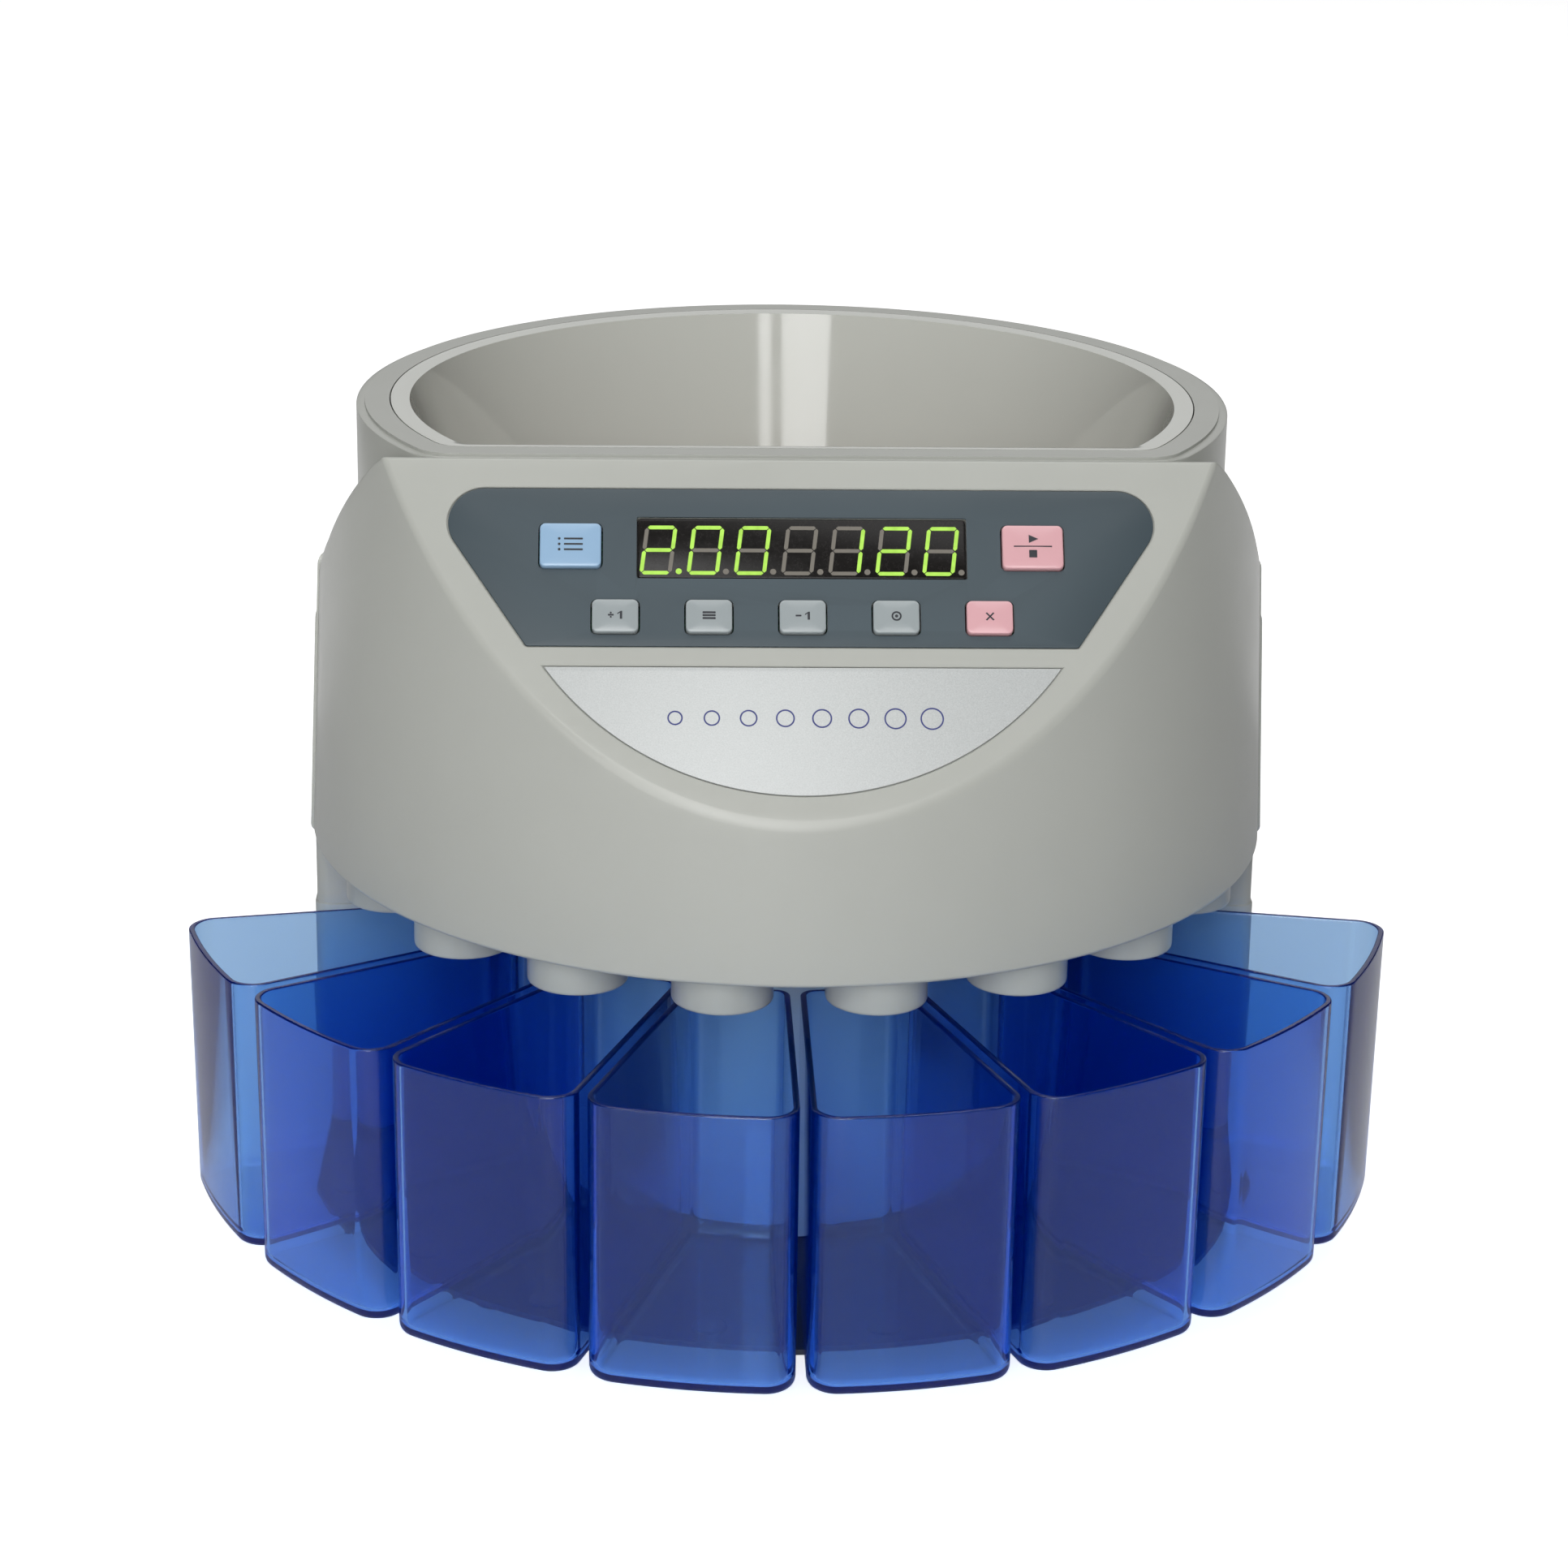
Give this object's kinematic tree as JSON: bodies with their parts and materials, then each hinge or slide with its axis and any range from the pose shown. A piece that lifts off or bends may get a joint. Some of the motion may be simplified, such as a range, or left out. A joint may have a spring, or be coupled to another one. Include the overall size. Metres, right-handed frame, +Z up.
{
  "type": "coin sorting machine",
  "caption": "Desktop coin sorter: round hopper over a spinning disc, sloping key panel with a digit display, downward spouts and a fan of blue wedge-shaped coin bins.",
  "frame": {"origin": "centre of the footprint, on the surface the rubber feet stand on", "axes": "+Z up, the control panel and the bins face -Y, +X to the machine's left as it looks out (a person in front of it sees +X to the right)"},
  "size_m": [0.3562, 0.3316, 0.2502],
  "materials": {
    "shell_grey": "moulded ABS, semi gloss, fine grain",
    "slate_panel": "printed polycarbonate overlay, satin",
    "silver_inlay": "metallic foil inlay, fine grain",
    "key_grey": "domed keys, gloss",
    "key_blue": "domed key, gloss",
    "key_pink": "domed keys, gloss",
    "smoked_lens": "smoked acrylic, polished",
    "bin_blue": "transparent cobalt blue styrene, polished",
    "black_plastic": "moulded, satin black",
    "black_rubber": "matt black rubber",
    "bright_steel": "ground steel",
    "zinc_plate": "zinc-plated sheet steel",
    "circuit_board": "glass-epoxy board with green solder mask",
    "laminated_iron": "varnished transformer laminations",
    "motor_can": "drawn steel can",
    "disc_white": "acetal, satin",
    "disc_mat": "urethane friction mat"
  },
  "bodies": {
    "machine": {"column_shell": "shell_grey", "rear_cover": "shell_grey", "front_cover": "shell_grey", "hopper_collar": "shell_grey", "outlet_tray": "shell_grey", "control_panel": "slate_panel", "badge_inlay": "silver_inlay", "display_window": "smoked_lens", "base_plate": "black_plastic", "display_module": "black_plastic", "power_inlet": "black_plastic", "switch_frame": "black_plastic", "fuse_holder": "black_plastic", "rubber_foot_1": "black_rubber", "rubber_foot_2": "black_rubber", "rubber_foot_3": "black_rubber", "rubber_foot_4": "black_rubber", "drive_belt": "black_rubber", "sorting_ring": "bright_steel", "guide_rail": "bright_steel", "lower_bearing": "bright_steel", "upper_bearing": "bright_steel", "data_port": "bright_steel", "cover_screw_1": "bright_steel", "cover_screw_2": "bright_steel", "sorter_chassis": "zinc_plate", "bearing_housing": "zinc_plate", "motor_bracket": "zinc_plate", "key_board": "circuit_board", "sensor_board": "circuit_board", "main_board": "circuit_board", "transformer": "laminated_iron", "drive_motor": "motor_can"},
    "disc": {"feed_disc": "disc_white", "disc_mat": "disc_mat", "disc_cone": "disc_white", "drive_shaft": "bright_steel", "disc_pulley": "black_plastic"},
    "motor_rotor": {"motor_pulley": "black_plastic", "motor_shaft": "bright_steel"},
    "hopper": {"hopper_bowl": "shell_grey"},
    "rocker": {"switch_rocker": "black_plastic"},
    "key_upper_left_body": {"key_upper_left": "key_blue"},
    "key_upper_right_body": {"key_upper_right": "key_pink"},
    "key_lower_1_body": {"key_lower_1": "key_grey"},
    "key_lower_2_body": {"key_lower_2": "key_grey"},
    "key_lower_3_body": {"key_lower_3": "key_grey"},
    "key_lower_4_body": {"key_lower_4": "key_grey"},
    "key_lower_5_body": {"key_lower_5": "key_pink"},
    "bin_1": {"coin_bin_1": "bin_blue"},
    "bin_2": {"coin_bin_2": "bin_blue"},
    "bin_3": {"coin_bin_3": "bin_blue"},
    "bin_4": {"coin_bin_4": "bin_blue"},
    "bin_5": {"coin_bin_5": "bin_blue"},
    "bin_6": {"coin_bin_6": "bin_blue"},
    "bin_7": {"coin_bin_7": "bin_blue"},
    "bin_8": {"coin_bin_8": "bin_blue"}
  },
  "joints": [
    {"name": "disc_spin", "type": "hinge", "parent": "machine", "child": "disc", "pos_m": [0, 0.01753, 0.156], "axis": [0, 0, 1], "continuous": true},
    {"name": "motor_spin", "type": "hinge", "parent": "machine", "child": "motor_rotor", "pos_m": [0, 0.09753, 0.11], "axis": [0, 0, 1], "continuous": true},
    {"name": "hopper_lift", "type": "slide", "parent": "machine", "child": "hopper", "axis": [0, 0, 1], "range_m": [0, 0.1]},
    {"name": "rocker_tilt", "type": "hinge", "parent": "machine", "child": "rocker", "pos_m": [-0.034, 0.15863, 0.044], "axis": [-1, 0, 0], "range_deg": [0, 12]},
    {"name": "press_upper_left", "type": "slide", "parent": "machine", "child": "key_upper_left_body", "axis": [0, 0.7854, -0.619], "range_m": [0, 0.0008], "stiffness_N_per_m": 1500, "springref_m": -0.0001},
    {"name": "press_upper_right", "type": "slide", "parent": "machine", "child": "key_upper_right_body", "axis": [0, 0.7854, -0.619], "range_m": [0, 0.0008], "stiffness_N_per_m": 1500, "springref_m": -0.0001},
    {"name": "press_lower_1", "type": "slide", "parent": "machine", "child": "key_lower_1_body", "axis": [0, 0.7854, -0.619], "range_m": [0, 0.0008], "stiffness_N_per_m": 1500, "springref_m": -0.0001},
    {"name": "press_lower_2", "type": "slide", "parent": "machine", "child": "key_lower_2_body", "axis": [0, 0.7854, -0.619], "range_m": [0, 0.0008], "stiffness_N_per_m": 1500, "springref_m": -0.0001},
    {"name": "press_lower_3", "type": "slide", "parent": "machine", "child": "key_lower_3_body", "axis": [0, 0.7854, -0.619], "range_m": [0, 0.0008], "stiffness_N_per_m": 1500, "springref_m": -0.0001},
    {"name": "press_lower_4", "type": "slide", "parent": "machine", "child": "key_lower_4_body", "axis": [0, 0.7854, -0.619], "range_m": [0, 0.0008], "stiffness_N_per_m": 1500, "springref_m": -0.0001},
    {"name": "press_lower_5", "type": "slide", "parent": "machine", "child": "key_lower_5_body", "axis": [0, 0.7854, -0.619], "range_m": [0, 0.0008], "stiffness_N_per_m": 1500, "springref_m": -0.0001},
    {"name": "bin_1_slide", "type": "slide", "parent": "machine", "child": "bin_1", "axis": [-0.9344, -0.3563, 0], "range_m": [0, 0.11]},
    {"name": "bin_2_slide", "type": "slide", "parent": "machine", "child": "bin_2", "axis": [-0.759, -0.6511, 0], "range_m": [0, 0.11]},
    {"name": "bin_3_slide", "type": "slide", "parent": "machine", "child": "bin_3", "axis": [-0.4943, -0.8693, 0], "range_m": [0, 0.11]},
    {"name": "bin_4_slide", "type": "slide", "parent": "machine", "child": "bin_4", "axis": [-0.1715, -0.9852, 0], "range_m": [0, 0.11]},
    {"name": "bin_5_slide", "type": "slide", "parent": "machine", "child": "bin_5", "axis": [0.1715, -0.9852, 0], "range_m": [0, 0.11]},
    {"name": "bin_6_slide", "type": "slide", "parent": "machine", "child": "bin_6", "axis": [0.4943, -0.8693, 0], "range_m": [0, 0.11]},
    {"name": "bin_7_slide", "type": "slide", "parent": "machine", "child": "bin_7", "axis": [0.759, -0.6511, 0], "range_m": [0, 0.11]},
    {"name": "bin_8_slide", "type": "slide", "parent": "machine", "child": "bin_8", "axis": [0.9344, -0.3563, 0], "range_m": [0, 0.11]}
  ],
  "couplings": [
    {"joint": "motor_spin", "follows": "disc_spin", "ratio": 3.8}
  ]
}
